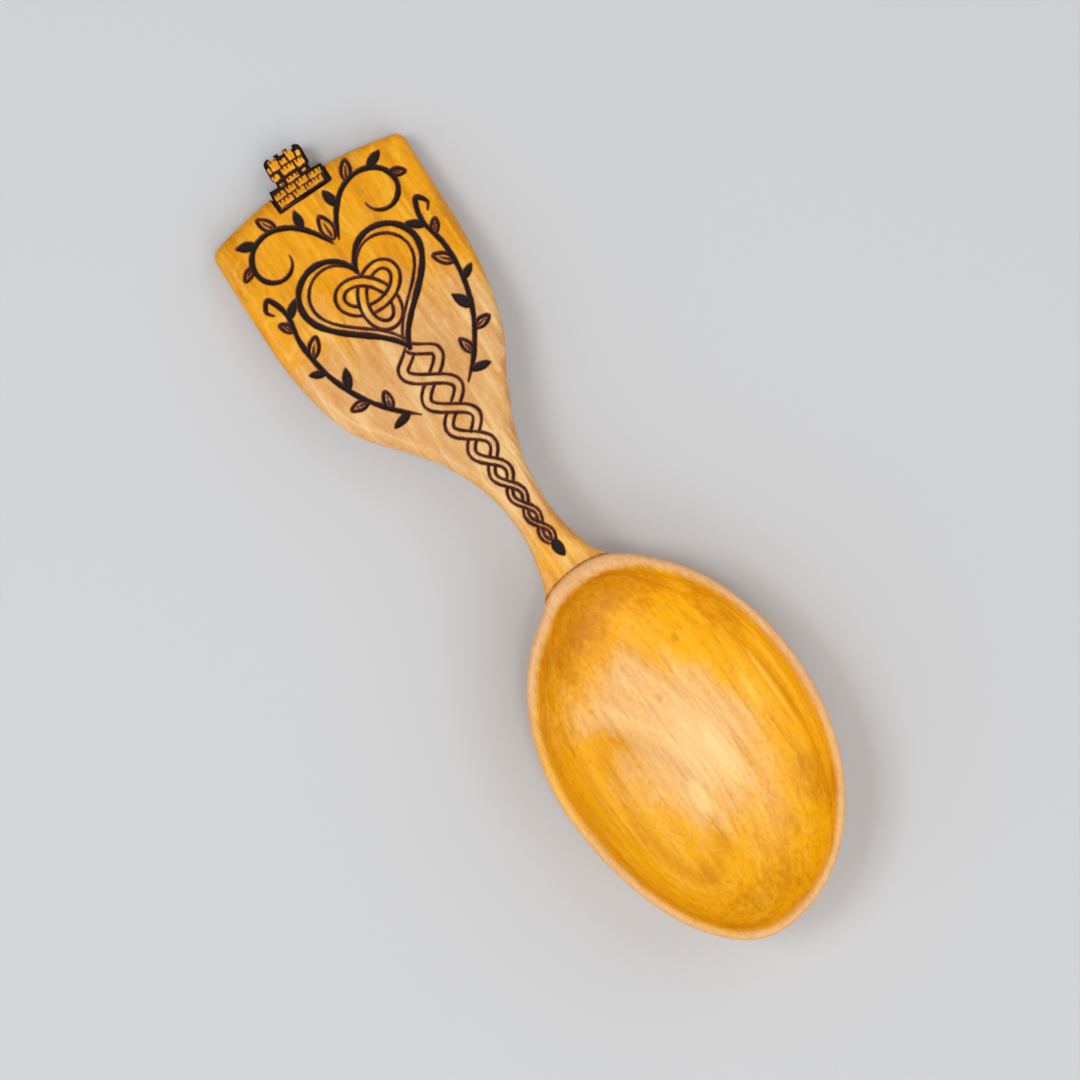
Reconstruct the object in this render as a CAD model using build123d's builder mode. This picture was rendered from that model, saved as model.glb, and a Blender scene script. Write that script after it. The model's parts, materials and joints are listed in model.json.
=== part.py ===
from build123d import *
from math import cos, radians, sin, sqrt
import os

# A carved wooden love spoon, lying on its back as it would on a table.
# +Y runs from the bowl to the turret, X across, Z up from the surface it rests on.
# The origin is on that surface, under the middle of the spoon.

# Bowl: an oval dish on a small flat foot. Its tips lie to either side of the handle's line.
bowl_length = 83.6
bowl_width = 57.2
bowl_height = 20.0
widest_share = 0.478  # where it is widest, as a share of its length from the neck
neck_tip_share = 0.073  # how far its tip at the neck lies to +X, as a share of half its width
far_tip_share = -0.173  # the same for its far tip, which lies to -X
bowl_fullness = 2.4  # exponent of the dish's curve: 2 is an ellipse, more is squarer
dish_angles = (0, 12, 26, 40, 54, 67, 78, 86)  # where the curve's ovals lie, rim to floor
foot_depth = 0.5  # how much of the round underside is planed away for the foot
hollow_depth = 15.4
hollow_fullness = 2.3
rim_width = 2.4  # at the sides and the far end
neck_rim_width = 4.0  # where the stem joins
rim_rounding = 0.8

# Stem: a slim neck from the bowl's rim to the panel, with a round belly
stem_length = 35.6
stem_width = 8.25  # at its narrowest
stem_thickness = 9.0
stem_drop = 1.1  # how far its face lies below the bowl's rim
stem_offset = 0.68  # its centre line lies this far to +X of the bowl's
stem_bend = 20.0  # length over which its face turns down towards the panel
root_reach = 8.3  # how far its root runs on under the bowl's rim

# Panel: a flat shield, face and back planed flat
panel_length = 65.0
panel_width = 47.6
panel_offset = -0.35  # its middle lies to -X of the bowl's
panel_neck_thickness = 8.0
panel_end_thickness = 6.3
panel_drop = 3.0  # how far its face at the neck lies below the stem's
panel_arch = 2.8  # rise of the arched end above its -X corner
panel_slant = 1.3  # how much lower the +X corner is than the -X one
handle_edge = 2.2  # rounding of the edges of the stem's and the panel's face
corner_extra = 0.3  # how much rounder the end's corners are, seen from above
back_edge = 1.5  # rounding of the edges of the panel's back

# Turret: a battlemented tower on the middle of the arched end
base_width = 12.2
base_inset = 3.5  # how far the base storey is let into the panel
base_rise = 0.5  # how far it stands out past the arch
drum_width = 7.9
drum_height = 2.0
head_width = 8.8
head_height = 4.3
head_corner = 1.3
turret_thickness = 4.8
turret_lean = 4.5  # degrees clockwise from the handle
turret_offset = 0.35  # its middle lies this far to +X of the panel's
crenel_count = 3
crenel_width = 1.1
crenel_depth = 0.7

# Places along Y, from the far end of the bowl to the top of the turret
turret_height = base_rise + drum_height + head_height
overall_length = bowl_length + stem_length + panel_length + turret_height
rim_y = bowl_length - overall_length / 2
bowl_y = rim_y - bowl_length * widest_share
joint_y = rim_y + stem_length
panel_end_y = joint_y + panel_length

# Heights of the faces above the table
stem_face_height = bowl_height - stem_drop
panel_neck_height = stem_face_height - panel_drop

# The panel's face and back are two planes that draw together towards the end
face_slope = (panel_neck_height - panel_end_thickness) / panel_length
back_slope = (panel_neck_height - panel_neck_thickness) / (panel_length + base_rise)
face_plane = Plane(
    origin=(0, panel_end_y, panel_end_thickness), x_dir=(1, 0, 0), z_dir=(0, face_slope, 1)
)
back_plane = Plane(
    origin=(0, panel_end_y + base_rise, 0), x_dir=(1, 0, 0), z_dir=(0, back_slope, 1)
)


# How far a quarter ellipse's handles reach, as a share of its half widths
round_share = 4 * (sqrt(2) - 1) / 3


def oval(half_width, neck_length, far_length):
    # Four quarter ellipses about the widest line, each leaning to its own tip
    corners = []
    for length, lean in ((neck_length, neck_tip_share), (-far_length, far_tip_share)):
        tip = (half_width * lean, length)
        for side in (half_width, -half_width):
            ahead = (side, length * round_share)
            beside = (tip[0] + (side - tip[0]) * round_share, length)
            corners.append(((side, 0), ahead, beside, tip))
    with BuildLine() as outline:
        for corner in corners:
            Bezier(*corner)
    return outline.edges()


def dish(half_width, neck_length, far_length, depth, fullness):
    # A solid dish, flat on top at the rim's height: ovals that shrink with depth
    power = 2 / fullness
    with BuildPart() as form:
        for angle in dish_angles:
            shrink = cos(radians(angle)) ** power
            drop = depth * sin(radians(angle)) ** power
            with BuildSketch(Plane((0, bowl_y, bowl_height - drop))):
                make_face(oval(half_width * shrink, neck_length * shrink, far_length * shrink))
        loft()
    return form.part


neck_length = bowl_length * widest_share
far_length = bowl_length - neck_length
bowl_blank = dish(
    bowl_width / 2, neck_length, far_length, bowl_height + foot_depth, bowl_fullness
)
hollow_form = dish(
    bowl_width / 2 - rim_width,
    neck_length - neck_rim_width,
    far_length - rim_width,
    hollow_depth,
    hollow_fullness,
)

with BuildPart() as bowl:
    add(bowl_blank)
    add(hollow_form, mode=Mode.SUBTRACT)
    split(bisect_by=Plane.XY, keep=Keep.TOP)
    fillet(bowl.faces().sort_by(Axis.Z)[-1].edges(), radius=rim_rounding)
bowl.part.label = "bowl"

# The handle's sides. A side share of 0 is the narrowest stem and 1 the full panel.
stem_sides = (stem_offset - stem_width / 2, stem_offset + stem_width / 2)
panel_sides = (panel_offset - panel_width / 2, panel_offset + panel_width / 2)
joint_side_shares = (0.305, 0.265)


def sides_at(side_shares):
    reaches = zip(stem_sides, panel_sides, side_shares)
    return [stem + (panel - stem) * share for stem, panel, share in reaches]


def face_height_at(y):
    # Level over the neck, then a parabola that runs out into the panel's face plane
    meeting = joint_y - (stem_face_height - panel_neck_height) / face_slope
    past = y - (meeting - stem_bend / 2)
    if past <= 0:
        return stem_face_height
    if past < stem_bend:
        return stem_face_height - face_slope * past**2 / (2 * stem_bend)
    return panel_neck_height - face_slope * (y - joint_y)


# The stem's left and right side shares at stations evenly spaced from the end of its root
# under the rim to the joint with the panel
stem_side_shares = (
    (0.24, 0.34),
    (0.285, 0.40),
    (0.25, 0.365),
    (0.14, 0.185),
    (0.086, 0.096),
    (0.046, 0.052),
    (0.015, 0.02),
    (0.00, 0.00),
    (0.005, 0.003),
    (0.018, 0.018),
    (0.05, 0.038),
    (0.092, 0.073),
    (0.15, 0.127),
    (0.22, 0.186),
    joint_side_shares,
)
neck_share = 0.53  # where along the stem it is slimmest, from the end of its root

# How deep the stem is against its own thickness, how far its sides draw in below the
# face, how high up its belly starts, and how much of the belly is flat
root_belly_shares = (1.27, 0.60, 0.30, 0.50)
neck_belly_shares = (1.0, 0.12, 0.45, 0.35)
joint_left, joint_right = sides_at(joint_side_shares)
joint_belly_shares = (
    panel_neck_thickness / stem_thickness,
    0,
    back_edge / panel_neck_thickness,
    1 - 2 * back_edge / (joint_right - joint_left),
)


def stem_section(place, left_share, right_share):
    # A face with softened edges, sides that draw in, and a belly that rounds off below
    rootwards = 1 - place / neck_share
    panelwards = (place - neck_share) / (1 - neck_share)
    towards, change = (
        (root_belly_shares, rootwards) if rootwards > 0 else (joint_belly_shares, panelwards)
    )
    depth, draw, belly, flat = [
        neck + (other - neck) * change for neck, other in zip(neck_belly_shares, towards)
    ]
    left, right = sides_at((left_share, right_share))
    middle = (left + right) / 2
    y = rim_y - root_reach + (root_reach + stem_length) * place
    top = face_height_at(y)
    bottom = top - stem_thickness * depth
    shoulder = top - handle_edge
    hip = bottom + belly * (top - bottom)
    with BuildSketch(Plane.XZ.offset(-y)) as section:
        with BuildLine():
            Line((left + handle_edge, top), (right - handle_edge, top))
            floor = []
            for side, inwards, start in ((left, handle_edge, 90), (right, -handle_edge, 0)):
                CenterArc((side + inwards, shoulder), handle_edge, start, 90)
                waist = side + (middle - side) * draw
                corner = waist + (waist - side) * (hip - bottom) / (shoulder - hip)
                floor.append((middle + (corner - middle) * flat, bottom))
                Line((side, shoulder), (waist, hip))
                Bezier((waist, hip), (corner, bottom), floor[-1])
            Line(*floor)
        make_face()
    return section.sketch


last_station = len(stem_side_shares) - 1
stem_sections = [
    stem_section(station / last_station, *shares)
    for station, shares in enumerate(stem_side_shares)
]

with BuildPart() as stem:
    loft(stem_sections)
    add(bowl_blank, mode=Mode.SUBTRACT)
stem.part.label = "stem"

# Panel stations: place as a share of the panel's length, left and right side shares
panel_station_shares = (
    (0.075, 0.476, 0.391),
    (0.17, 0.715, 0.595),
    (0.22, 0.815, 0.690),
    (0.27, 0.876, 0.760),
    (0.36, 0.952, 0.847),
    (0.51, 1.005, 0.940),
    (0.70, 1.000, 0.985),
)
end_side_shares = (0.967, 1.025)
# Sideways run of each side over its run along Y, where it starts and where it ends
left_slope_shares = (-0.75, 0.04)
right_slope_shares = (0.52, 0.04)

left_points = [(sides_at(joint_side_shares)[0], joint_y)]
right_points = [(sides_at(joint_side_shares)[1], joint_y)]
for place, left_share, right_share in panel_station_shares:
    left, right = sides_at((left_share, right_share))
    left_points.append((left, joint_y + panel_length * place))
    right_points.append((right, joint_y + panel_length * place))
end_left, end_right = sides_at(end_side_shares)
left_points.append((end_left, panel_end_y - panel_arch))
right_points.append((end_right, panel_end_y - panel_arch - panel_slant))
turret_x = panel_offset + turret_offset
crown = (turret_x, panel_end_y)

lean = radians(turret_lean)
turret_plane = Plane(
    origin=(turret_x, panel_end_y, 0), x_dir=(cos(lean), -sin(lean), 0), z_dir=(0, 0, 1)
)


def base_storey():
    with Locations((0, -base_inset)):
        Rectangle(base_width, base_inset + base_rise, align=(Align.CENTER, Align.MIN))


with BuildPart() as panel:
    with BuildSketch() as plan:
        with BuildLine():
            left_side = Spline(left_points, tangents=[(share, 1) for share in left_slope_shares])
            right_side = Spline(right_points, tangents=[(share, 1) for share in right_slope_shares])
            ThreePointArc(left_side @ 1, crown, right_side @ 1)
            Line(left_side @ 0, right_side @ 0)
        make_face()
        end_corners = plan.vertices().group_by(Axis.Y)[1:]
        corner_radius = handle_edge + corner_extra
        fillet([corner for group in end_corners for corner in group], radius=corner_radius)
    extrude(amount=panel_neck_height + handle_edge)
    split(bisect_by=face_plane, keep=Keep.BOTTOM)
    split(bisect_by=back_plane, keep=Keep.TOP)
    for flat, radius in ((face_plane, handle_edge), (back_plane, back_edge)):
        border = panel.faces().filter_by(flat)[0].edges()
        fillet(border.filter_by(lambda e: e.center().Y > joint_y + radius / 2), radius=radius)
    with BuildSketch(turret_plane):
        base_storey()
    extrude(amount=panel_neck_height, mode=Mode.SUBTRACT)
panel.part.label = "panel"

head_start = base_rise + drum_height
head_top = head_start + head_height
crenel_pitch = head_width / (crenel_count + 1)

with BuildPart() as turret:
    with BuildSketch(turret_plane) as tower:
        Rectangle(drum_width, head_start, align=(Align.CENTER, Align.MIN))
        with Locations((0, head_start)):
            Rectangle(head_width, head_height, align=(Align.CENTER, Align.MIN))
        fillet(tower.vertices().group_by(Axis.Y)[-1], radius=head_corner)
        with Locations((0, head_top)):
            with GridLocations(crenel_pitch, 0, crenel_count, 1):
                Rectangle(crenel_width, 2 * crenel_depth, mode=Mode.SUBTRACT)
    extrude(amount=panel_neck_height)
    split(bisect_by=face_plane.offset(-turret_thickness), keep=Keep.TOP)
    with BuildSketch(turret_plane):
        base_storey()
    extrude(amount=panel_neck_height)
    split(bisect_by=face_plane, keep=Keep.BOTTOM)
    split(bisect_by=back_plane, keep=Keep.TOP)
turret.part.label = "turret"

os.makedirs("parts", exist_ok=True)
for piece in (bowl, stem, panel, turret):
    export_step(piece.part, f"parts/{piece.part.label}.step")
    print(piece.part.label, round(piece.part.volume), "mm3", piece.part.bounding_box())
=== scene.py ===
import json
from math import cos, pi, radians, sin

import bpy
import numpy as np
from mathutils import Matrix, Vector
from mathutils.bvhtree import BVHTree

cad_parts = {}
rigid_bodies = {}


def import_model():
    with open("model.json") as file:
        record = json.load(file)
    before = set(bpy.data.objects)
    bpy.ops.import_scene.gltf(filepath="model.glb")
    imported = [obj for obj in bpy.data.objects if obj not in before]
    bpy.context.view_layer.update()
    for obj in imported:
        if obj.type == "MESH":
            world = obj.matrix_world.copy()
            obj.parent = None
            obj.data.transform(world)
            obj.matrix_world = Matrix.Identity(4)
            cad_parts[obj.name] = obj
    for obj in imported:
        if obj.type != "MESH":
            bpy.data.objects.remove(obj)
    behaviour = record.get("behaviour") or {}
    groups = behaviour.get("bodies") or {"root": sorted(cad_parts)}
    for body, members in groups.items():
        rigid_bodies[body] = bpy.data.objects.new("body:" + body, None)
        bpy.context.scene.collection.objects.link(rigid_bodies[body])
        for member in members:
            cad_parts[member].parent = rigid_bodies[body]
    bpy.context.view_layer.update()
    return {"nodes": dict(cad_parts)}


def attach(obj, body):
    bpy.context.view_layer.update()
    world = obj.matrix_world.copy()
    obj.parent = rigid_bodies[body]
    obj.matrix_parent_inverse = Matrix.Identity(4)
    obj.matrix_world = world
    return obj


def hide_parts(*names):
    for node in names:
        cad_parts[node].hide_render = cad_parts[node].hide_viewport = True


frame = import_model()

mm = 0.001


# Helpers for the whole scene

mergeDistance = 0.005  # mm, within which the corners of a CAD mesh's loose triangles are one
leastWeight = 0.002  # a vertex that weighs less is left out of its group
facesUp = (-0.3, 0.1)  # the normal's z from where a surface starts to face up to where it does fully


def makeActive(piece):
    bpy.ops.object.select_all(action="DESELECT")
    piece.select_set(True)
    bpy.context.view_layer.objects.active = piece


def applyModifier(piece, kind, **settings):
    makeActive(piece)
    modifier = piece.modifiers.new(kind.lower(), kind)
    for key, value in settings.items():
        setattr(modifier, key, value)
    bpy.ops.object.modifier_apply(modifier=modifier.name)


def copyOfNodes(name, *nodeNames):
    # The CAD nodes' meshes in one new object, with their loose triangles merged
    copies = []
    for nodeName in nodeNames:
        piece = bpy.data.objects.new(name, frame["nodes"][nodeName].data.copy())
        bpy.context.scene.collection.objects.link(piece)
        piece.data.materials.clear()
        copies.append(piece)
    makeActive(copies[0])
    for piece in copies:
        piece.select_set(True)
    if len(copies) > 1:
        bpy.ops.object.join()
    bpy.ops.object.mode_set(mode="EDIT")
    bpy.ops.mesh.select_all(action="SELECT")
    bpy.ops.mesh.remove_doubles(threshold=mergeDistance * mm)
    bpy.ops.object.mode_set(mode="OBJECT")
    return copies[0]


def vertexValues(piece, key):
    flat = np.empty(len(piece.data.vertices) * 3, np.float32)
    piece.data.vertices.foreach_get(key, flat)
    return flat.reshape(-1, 3)


def placesOf(piece):
    # Every vertex's place in mm
    return vertexValues(piece, "co") / mm


def normalsOf(piece):
    return vertexValues(piece, "normal")


def selectVertices(piece, chosen):
    # Leaves the piece in edit mode with only the chosen vertices selected
    makeActive(piece)
    bpy.ops.object.mode_set(mode="EDIT")
    bpy.ops.mesh.select_mode(type="VERT")
    bpy.ops.mesh.select_all(action="DESELECT")
    bpy.ops.object.mode_set(mode="OBJECT")
    piece.data.vertices.foreach_set("select", chosen)
    bpy.ops.object.mode_set(mode="EDIT")


def moveVertices(piece, chosen, step):
    # Moves the chosen vertices by a step in mm
    selectVertices(piece, chosen)
    bpy.ops.transform.translate(value=[s * mm for s in step])
    bpy.ops.object.mode_set(mode="OBJECT")


def subdivideNear(piece, chosen):
    # Cuts every face that has a chosen vertex into four
    selectVertices(piece, chosen)
    bpy.ops.mesh.select_more()
    bpy.ops.mesh.subdivide(number_cuts=1, smoothness=0)
    bpy.ops.object.mode_set(mode="OBJECT")


def remeshEvenly(piece, voxel, passes):
    # One even mesh in place of the solid's, with the voxels' steps smoothed away
    applyModifier(piece, "REMESH", mode="VOXEL", voxel_size=voxel * mm, use_smooth_shade=True)
    applyModifier(piece, "SMOOTH", factor=0.5, iterations=passes)


def handCarving(piece, depth, size):
    # The slight unevenness that knife and sandpaper leave
    texture = bpy.data.textures.new("handCarving", "CLOUDS")
    texture.noise_scale = size * mm
    texture.noise_depth = 1
    applyModifier(
        piece, "DISPLACE", texture=texture, texture_coords="LOCAL", strength=depth * mm, mid_level=1.0)


def weighVertices(piece, name, weights):
    group = piece.vertex_groups.new(name=name)
    for i in np.nonzero(weights > leastWeight)[0]:
        group.add([int(i)], float(weights[i]), "REPLACE")


def pushGroup(piece, name, direction, amount):
    # Moves a group's vertices by up to an amount in mm, each by its weight
    applyModifier(
        piece, "DISPLACE", vertex_group=name, direction=direction, strength=amount * mm, mid_level=0.0)


def storeValues(piece, name, values):
    # A value for each vertex, which a material reads by this name
    layer = piece.data.attributes.new(name, "FLOAT", "POINT")
    layer.data.foreach_set("value", np.asarray(values, np.float32))


def between(value, start, end):
    # 0 at start, 1 at end, eased
    t = np.clip((value - start) / (end - start), 0, 1)
    return t * t * (3 - 2 * t)


def storeUpward(piece):
    storeValues(piece, "upward", between(normalsOf(piece)[:, 2], *facesUp))


def linearColour(hexCode):
    # sRGB hex to the linear values that the shaders work in
    channels = [int(hexCode[i:i + 2], 16) / 255 for i in (1, 3, 5)]
    return tuple(c / 12.92 if c <= 0.04045 else ((c + 0.055) / 1.055) ** 2.4 for c in channels) + (1,)


def perMetre(sizes):
    # The scale that makes a pattern's unit as long as each size in mm
    return [1 / (size * mm) for size in sizes]


def addNode(tree, kind, settings=None, output=None, **links):
    # A node with its settings and links: a value or a socket under each input's name, with _ for a space
    # and in0 for the first
    node = tree.nodes.new("ShaderNode" + kind)
    for key, value in (settings or {}).items():
        setattr(node, key, value)
    for key, value in links.items():
        if key[:2] == "in" and key[2:].isdigit():
            socket = node.inputs[int(key[2:])]
        else:
            socket = next(s for s in node.inputs if s.enabled and s.name == key.replace("_", " "))
        if isinstance(value, bpy.types.NodeSocket):
            tree.links.new(value, socket)
        else:
            socket.default_value = value
    return node.outputs[output] if output else next(s for s in node.outputs if s.enabled)


# Settings that many nodes share
smooth = {"interpolation_type": "SMOOTHSTEP"}
mixColour, mixValue = {"data_type": "RGBA"}, {"data_type": "FLOAT"}
add, subtract, multiply, scaledAdd, lengthOf, absolute = (
    {"operation": kind} for kind in ("ADD", "SUBTRACT", "MULTIPLY", "MULTIPLY_ADD", "LENGTH", "ABSOLUTE"))


# Camera, floor and light

studio = {
    "cameraHeight": 600 * mm,
    "cameraAim": (-0.98 * mm, -1.82 * mm),  # the point that it looks straight down on
    "cameraTurn": -34.8,  # degrees, so that the handle leans as it does in the photograph
    "pictureWidth": 221.6 * mm,  # how much of the scene the picture takes in
    "widthHeight": 14 * mm,  # the height at which that width is measured
    "sensorWidth": 36,
    "nearClip": 0.01,
    "floorSize": 3.0,
    "floorColour": "#CDCED0",
    "floorRoughness": 0.9,
    "floorSpecular": 0.2,
    "worldColour": "#FFFFFF",
    "worldStrength": 0.30,
    # Each softbox: watts, width in metres, and its place in the picture: right, up, towards the camera
    "softboxes": {
        "keySoftbox": (3.0, 0.36, (-0.46, 0.02, 0.88)),
        "highSoftbox": (0.9, 0.14, (0.10, -0.13, 0.90)),
        "lowerLeftSoftbox": (2.4, 0.9, (-0.75, -0.45, 0.55)),
        "rightSoftbox": (2.4, 0.9, (0.62, 0.45, 0.68)),
        "lowerRightSoftbox": (3.6, 0.9, (0.50, -0.60, 0.70)),
    },
}

turn = radians(studio["cameraTurn"])
pictureRight = Vector((cos(turn), sin(turn), 0))
pictureUp = Vector((-sin(turn), cos(turn), 0))


def addCamera():
    x, y = studio["cameraAim"]
    bpy.ops.object.camera_add(location=(x, y, studio["cameraHeight"]), rotation=(0, 0, turn))
    camera = bpy.context.object
    camera.name = "viewFromAbove"
    camera.data.sensor_width = studio["sensorWidth"]
    distance = studio["cameraHeight"] - studio["widthHeight"]
    camera.data.lens = camera.data.sensor_width * distance / studio["pictureWidth"]
    camera.data.clip_start = studio["nearClip"]
    bpy.context.scene.camera = camera


def addSoftbox(name, power, size, place):
    right, up, height = place
    spot = pictureRight * right + pictureUp * up + Vector((0, 0, height))
    bpy.ops.object.light_add(type="AREA", location=spot)
    lamp = bpy.context.object
    lamp.name = name
    lamp.data.energy = power
    lamp.data.size = size
    lamp.rotation_mode = "QUATERNION"
    lamp.rotation_quaternion = spot.to_track_quat("Z", "Y")


def addFloor():
    bpy.ops.mesh.primitive_plane_add(size=studio["floorSize"])
    floor = bpy.context.object
    floor.name = "floor"
    material = bpy.data.materials.new("matt_paper")
    material.use_nodes = True
    shader = material.node_tree.nodes["Principled BSDF"]
    shader.inputs["Base Color"].default_value = linearColour(studio["floorColour"])
    shader.inputs["Roughness"].default_value = studio["floorRoughness"]
    shader.inputs["Specular IOR Level"].default_value = studio["floorSpecular"]
    floor.data.materials.append(material)


def addWorld():
    world = bpy.data.worlds.new("softRoom")
    world.use_nodes = True
    background = world.node_tree.nodes["Background"]
    background.inputs["Color"].default_value = linearColour(studio["worldColour"])
    background.inputs["Strength"].default_value = studio["worldStrength"]
    bpy.context.scene.world = world


addCamera()
addFloor()
addWorld()
for softbox, (power, size, place) in studio["softboxes"].items():
    addSoftbox(softbox, power, size, place)
bpy.context.scene.view_settings.view_transform = "Standard"
print("studio: camera, floor and soft light are in place")


# Burnt drawing: hearts, knot, twist and leafy sprays, in mm on the spoon seen from above

drawing = {
    "middle": -0.35,  # x of the line that the hearts, scrolls and sprays are mirrored about
    "heartCentre": 60.8,
    "hearts": ((0.88, 1.3), (0.75, 0.6)),  # size, where 1 is 32 mm wide, and line width
    "heartPoints": 121,
    "heartPress": 0.5,  # how wide its line is at the dip and the tip, as a share
    "knot": {"size": 2.35, "drop": 1.5, "halfBand": 0.95, "line": 0.62, "points": 181},
    # The twist down the neck: pairs of y and a value, from the bud up
    "twist": {
        "line": 0.58,
        "points": 280,
        "opening": 3,  # mm over which the strands part at the top
        "spacing": ((-3.2, 4.6), (5, 5.0), (20, 6.6), (46, 8.2)),  # from one crossing to the next
        "spread": ((-3.2, 1.0), (5, 1.12), (12, 1.5), (20, 2.3), (30, 3.4), (46, 4.3)),
        "centre": ((-3.2, 1.0), (6, 0.65), (20, 0.2), (40, -0.35)),
        "halfBand": ((-3.2, 0.46), (5, 0.5), (25, 0.85), (46, 1.05)),
    },
    # Where bands cross, in steps along them: how much of the upper one hides the lower one's edges, how
    # much of the lower one may be hidden, the shortest piece of edge drawn, and steps too near to cross
    "weave": {"upper": 16, "lower": 20, "shortest": 3, "near": 3},
    "sprayWidth": 1.05,
    "sprayLift": (0.12, 0.2),  # the shares over which a stem's line swells at its start and thins at its end
    "spray": (
        (-6.2, 33.2), (-10.6, 37.6), (-14.9, 44.0), (-17.6, 51.5), (-18.4, 59.5),
        (-17.4, 66.3), (-18.9, 71.0), (-20.6, 69.2), (-19.6, 67.5),
    ),
    # Leaves on a stem: how far along it, degrees from it, length, and whether burnt solid
    "sprayLeaves": (
        (0.06, 55, 4.4, True), (0.13, -50, 4.2, False), (0.22, 52, 4.2, False), (0.29, -48, 4.8, True),
        (0.38, 50, 3.6, True), (0.45, -46, 5.0, False), (0.56, 46, 3.6, False), (0.62, -46, 4.4, True),
    ),
    "scroll": {"start": (-1.05, 73.0), "heading": 112, "length": 37, "bend": (0.02, 0.30), "width": 1.1},
    "scrollStep": 0.4,
    "scrollLift": (0.1, 0.25),
    "scrollLeaves": (
        (0.20, -52, 4.4, True), (0.36, -46, 4.8, False), (0.50, -48, 4.4, True), (0.63, -46, 3.6, False),
    ),
    "leafWidth": 0.42,  # as a share of its length
    "leafPoints": 25,
    "leafBow": (0.85, 0.9),  # under 1, the first widens a leaf nearer its base and the second rounds it
    "leafSpread": 0.15,  # mm that the burn of a solid leaf runs past its outline
    "leafEdge": (0.7, (0.1, 0.1)),  # line width, and the shares over which it swells and thins
    "leafVein": (0.5, (0.2, 0.6)),
    "veinPart": (3, 17),  # which of the leaf's points the vein runs through
    "topLeaf": ((-0.35, 73.6), 90, 6.2, 2.6),  # base, heading, length and width
    "bud": ((1.15, -3.4), -86, 3.8, 2.3),
    "turretFoot": ((-6.3, 89.6, 0.9), (-6.3, 84.9, 0.8), (6.0, 84.75, 0.8), (6.1, 89.6, 0.9)),  # x, y, width
    # A real cut groove whose dark burn is painted shade under the rim's step
    "stopCutAndShade": (
        (-9.5, -14.35), (-6.6, -12.35), (-3.6, -11.1), (1.2, -10.45),
        (5.6, -10.8), (8.6, -11.8), (12.5, -14.2),
    ),
    "stopCutAndShadeWidth": 0.09,  # the fine cut where the neck meets the rim, burnt dark as painted shade under the rim's step
    "smoothSteps": 12,  # from one given point of a path to the next
    "liftedWidth": 0.2,  # a line's width where the hot point is set down or lifted, as a share
    "liftCurve": 0.7,  # under 1, it swells fast and then slowly
    "wobble": 0.07,  # how much the hand's pressure varies
    "wobbleLengths": (1.9, 0.83),  # mm along a line to each radian of its two waves
    "wobbleSeed": 7,
    "dotStep": 0.12,  # mm from one touch of the hot point to the next
    "grooveDepth": 0.42,
    # The grid that holds the distance from the lines: its low corner, its cells and their size
    "rasterLow": (-32.0, -20.0),
    "rasterSize": (640, 1180),
    "rasterStep": 0.1,
    "reach": 0.8,  # how far from a line its distance is kept
}


def smoothThrough(points):
    # A smooth path through a few points
    p = np.array([2 * np.array(points[0]) - points[1], *points, 2 * np.array(points[-1]) - points[-2]], float)
    path = []
    for k in range(1, len(p) - 2):
        for s in np.linspace(0, 1, drawing["smoothSteps"] + 1)[:-1]:
            path.append(0.5 * (
                2 * p[k] + (p[k + 1] - p[k - 1]) * s
                + (2 * p[k - 1] - 5 * p[k] + 4 * p[k + 1] - p[k + 2]) * s ** 2
                + (3 * p[k] - p[k - 1] - 3 * p[k + 1] + p[k + 2]) * s ** 3))
    path.append(p[-2])
    return np.array(path)


def curl(start, heading, length, bend):
    # A path whose bend changes evenly along it, as a drawn scroll's does
    steps = int(length / drawing["scrollStep"])
    point, heading = np.array(start, float), radians(heading)
    path = [point]
    for i in range(steps):
        heading += (bend[0] + (bend[1] - bend[0]) * i / steps) * length / steps
        point = point + np.array([cos(heading), sin(heading)]) * length / steps
        path.append(point)
    return np.array(path)


def stroke(path, width, lift):
    # A path with its width at each point, thin where the hot point is set down and lifted
    t = np.linspace(0, 1, len(path))
    press = np.ones(len(path))
    thin, curve = drawing["liftedWidth"], drawing["liftCurve"]
    for share, along in zip(lift, (t, 1 - t)):
        press = np.minimum(press, thin + (1 - thin) * np.clip(along / share, 0, 1) ** curve)
    return np.asarray(path, float), width * press


def leaf(base, heading, length, width, solid):
    # Two bowed edges and a vein, or burnt all over
    t = np.linspace(0, 1, drawing["leafPoints"])
    lean, rounding = drawing["leafBow"]
    bulge = np.sin(pi * t ** lean) ** rounding * width / 2
    a = radians(heading)
    turnedBy = np.array([[cos(a), sin(a)], [-sin(a), cos(a)]])
    middle, left, right = (np.stack([length * t, side * bulge], 1) @ turnedBy + base for side in (0, 1, -1))
    if solid:
        return [(middle, 2 * bulge + drawing["leafSpread"])]
    vein = middle[slice(*drawing["veinPart"])]
    edges = [stroke(edge, *drawing["leafEdge"]) for edge in (left, right)]
    return edges + [stroke(vein, *drawing["leafVein"])]


def leavesOn(stem, leaves):
    strokes = []
    for share, turnedBy, length, solid in leaves:
        i = int(share * (len(stem) - 2))
        way = stem[i + 1] - stem[i]
        heading = np.degrees(np.arctan2(way[1], way[0])) + turnedBy
        strokes += leaf(stem[i], heading, length, length * drawing["leafWidth"], solid)
    return strokes


def mirrored(strokes):
    across = 2 * drawing["middle"]
    return strokes + [(np.stack([across - path[:, 0], path[:, 1]], 1), width) for path, width in strokes]


def cross(u, v):
    return u[..., 0] * v[..., 1] - u[..., 1] * v[..., 0]


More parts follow.
